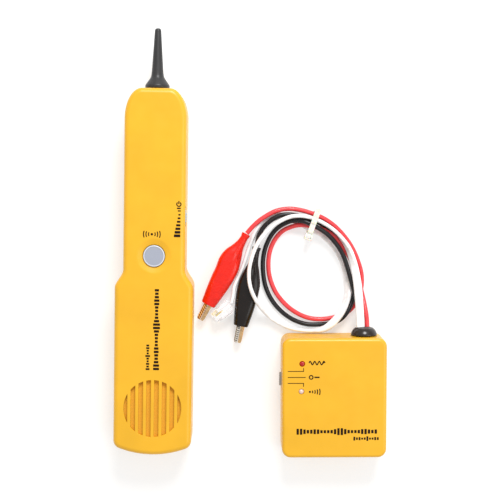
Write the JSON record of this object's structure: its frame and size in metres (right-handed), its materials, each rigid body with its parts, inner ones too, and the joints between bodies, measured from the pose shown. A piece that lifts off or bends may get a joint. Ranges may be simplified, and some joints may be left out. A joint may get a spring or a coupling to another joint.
{
  "type": "cable tone and probe tracing kit",
  "caption": "Yellow cable tracing probe with a pointed tip beside its tone sender, whose leads to two spring clips and a phone plug are coiled and tied.",
  "frame": {"origin": "middle of the two housings' box, on the table under them", "axes": "+X across the pair from receiver to sender, +Y along them towards the probe tip, +Z out of their front faces"},
  "size_m": [0.1568, 0.2456, 0.0294],
  "materials": {
    "yellow_abs": "moulded ABS, fine satin",
    "dark_plastic": "matt",
    "grey_plastic": "matt",
    "board_green": "solder mask",
    "chip_black": "moulded",
    "steel": "zinc plated",
    "brass": "plated",
    "ochre_cloth": "woven",
    "cone_paper": "pressed paper",
    "ferrite": "sintered",
    "battery_can": "plain wrap",
    "red_lens": "polished",
    "clear_lens": "polished",
    "red_rubber": "soft PVC",
    "black_rubber": "soft PVC",
    "white_rubber": "soft PVC",
    "natural_nylon": "translucent",
    "clear_plastic": "transparent polycarbonate"
  },
  "bodies": {
    "receiver_body": {"receiver_front_shell": "yellow_abs", "receiver_back_shell": "yellow_abs", "probe_tip": "dark_plastic", "antenna_core": "ferrite", "test_switch": "chip_black", "volume_control": "chip_black", "receiver_board": "board_green", "amplifier_chip": "chip_black", "speaker_frame": "steel", "speaker_cone": "cone_paper", "speaker_magnet": "ferrite", "grille_cloth": "ochre_cloth", "receiver_battery": "battery_can", "receiver_battery_snap": "chip_black", "receiver_screw_1": "steel", "receiver_screw_2": "steel", "receiver_screw_3": "steel", "receiver_screw_4": "steel"},
    "test_button_body": {"test_button": "grey_plastic"},
    "volume_wheel_body": {"volume_wheel": "grey_plastic"},
    "receiver_door_body": {"receiver_battery_door": "yellow_abs"},
    "sender_body": {"sender_front_shell": "yellow_abs", "sender_back_shell": "yellow_abs", "cable_grommet": "dark_plastic", "sender_board": "board_green", "oscillator_chip": "chip_black", "tone_led": "red_lens", "continuity_led": "clear_lens", "switch_body": "chip_black", "sender_battery": "battery_can", "sender_battery_snap": "chip_black", "sender_screw_1": "steel", "sender_screw_2": "steel", "sender_screw_3": "steel", "sender_screw_4": "steel", "red_wire": "red_rubber", "black_wire": "black_rubber", "phone_cable": "white_rubber", "cable_tie": "natural_nylon", "red_clip_fixed_jaw": "brass", "red_clip_pin": "steel", "red_clip_spring": "steel", "red_clip_boot": "red_rubber", "black_clip_fixed_jaw": "brass", "black_clip_pin": "steel", "black_clip_spring": "steel", "black_clip_boot": "black_rubber", "plug_body": "clear_plastic", "plug_contact_1": "brass", "plug_contact_2": "brass", "plug_contact_3": "brass", "plug_contact_4": "brass"},
    "switch_knob_body": {"switch_knob": "grey_plastic"},
    "sender_door_body": {"sender_battery_door": "yellow_abs"},
    "red_jaw_body": {"red_clip_moving_jaw": "brass"},
    "black_jaw_body": {"black_clip_moving_jaw": "brass"},
    "plug_latch_body": {"plug_latch": "clear_plastic"}
  },
  "joints": [
    {"name": "test_button_press", "type": "slide", "parent": "receiver_body", "child": "test_button_body", "axis": [0, 0, -1], "range_m": [0, 0.0008], "stiffness_N_per_m": 900, "springref_m": -0.0008},
    {"name": "volume_wheel_turn", "type": "hinge", "parent": "receiver_body", "child": "volume_wheel_body", "pos_m": [-0.04664, 0.01646, 0.0233], "axis": [0, 0, 1], "range_deg": [-150, 150]},
    {"name": "receiver_door_slide", "type": "slide", "parent": "receiver_body", "child": "receiver_door_body", "axis": [-0.0166, -0.9999, 0], "range_m": [0, 0.05]},
    {"name": "sender_lift", "type": "slide", "parent": "receiver_body", "child": "sender_body", "axis": [0, 0, 1], "range_m": [0, 0.08]},
    {"name": "tone_switch_slide", "type": "slide", "parent": "sender_body", "child": "switch_knob_body", "axis": [0, 1, 0], "range_m": [-0.002, 0.002]},
    {"name": "sender_door_slide", "type": "slide", "parent": "sender_body", "child": "sender_door_body", "axis": [0, -1, 0], "range_m": [0, 0.04]},
    {"name": "red_clip_open", "type": "hinge", "parent": "sender_body", "child": "red_jaw_body", "pos_m": [-0.01351, -0.01591, 0.0048], "axis": [0, 0, 1], "range_deg": [0, 3.5], "stiffness_Nm_per_rad": 0.05, "springref_deg": -17.19, "deforming": ["red_clip_boot", "red_clip_spring"]},
    {"name": "black_clip_open", "type": "hinge", "parent": "sender_body", "child": "black_jaw_body", "pos_m": [-0.00078, -0.02612, 0.0049], "axis": [0, 0, 1], "range_deg": [0, 14], "stiffness_Nm_per_rad": 0.05, "springref_deg": -17.19, "deforming": ["black_clip_boot", "black_clip_spring"]},
    {"name": "plug_latch_flex", "type": "hinge", "parent": "sender_body", "child": "plug_latch_body", "pos_m": [-0.01837, -0.04609, 0.0051], "axis": [0, 0, 1], "range_deg": [0, 3], "stiffness_Nm_per_rad": 0.02, "springref_deg": -5.73}
  ]
}
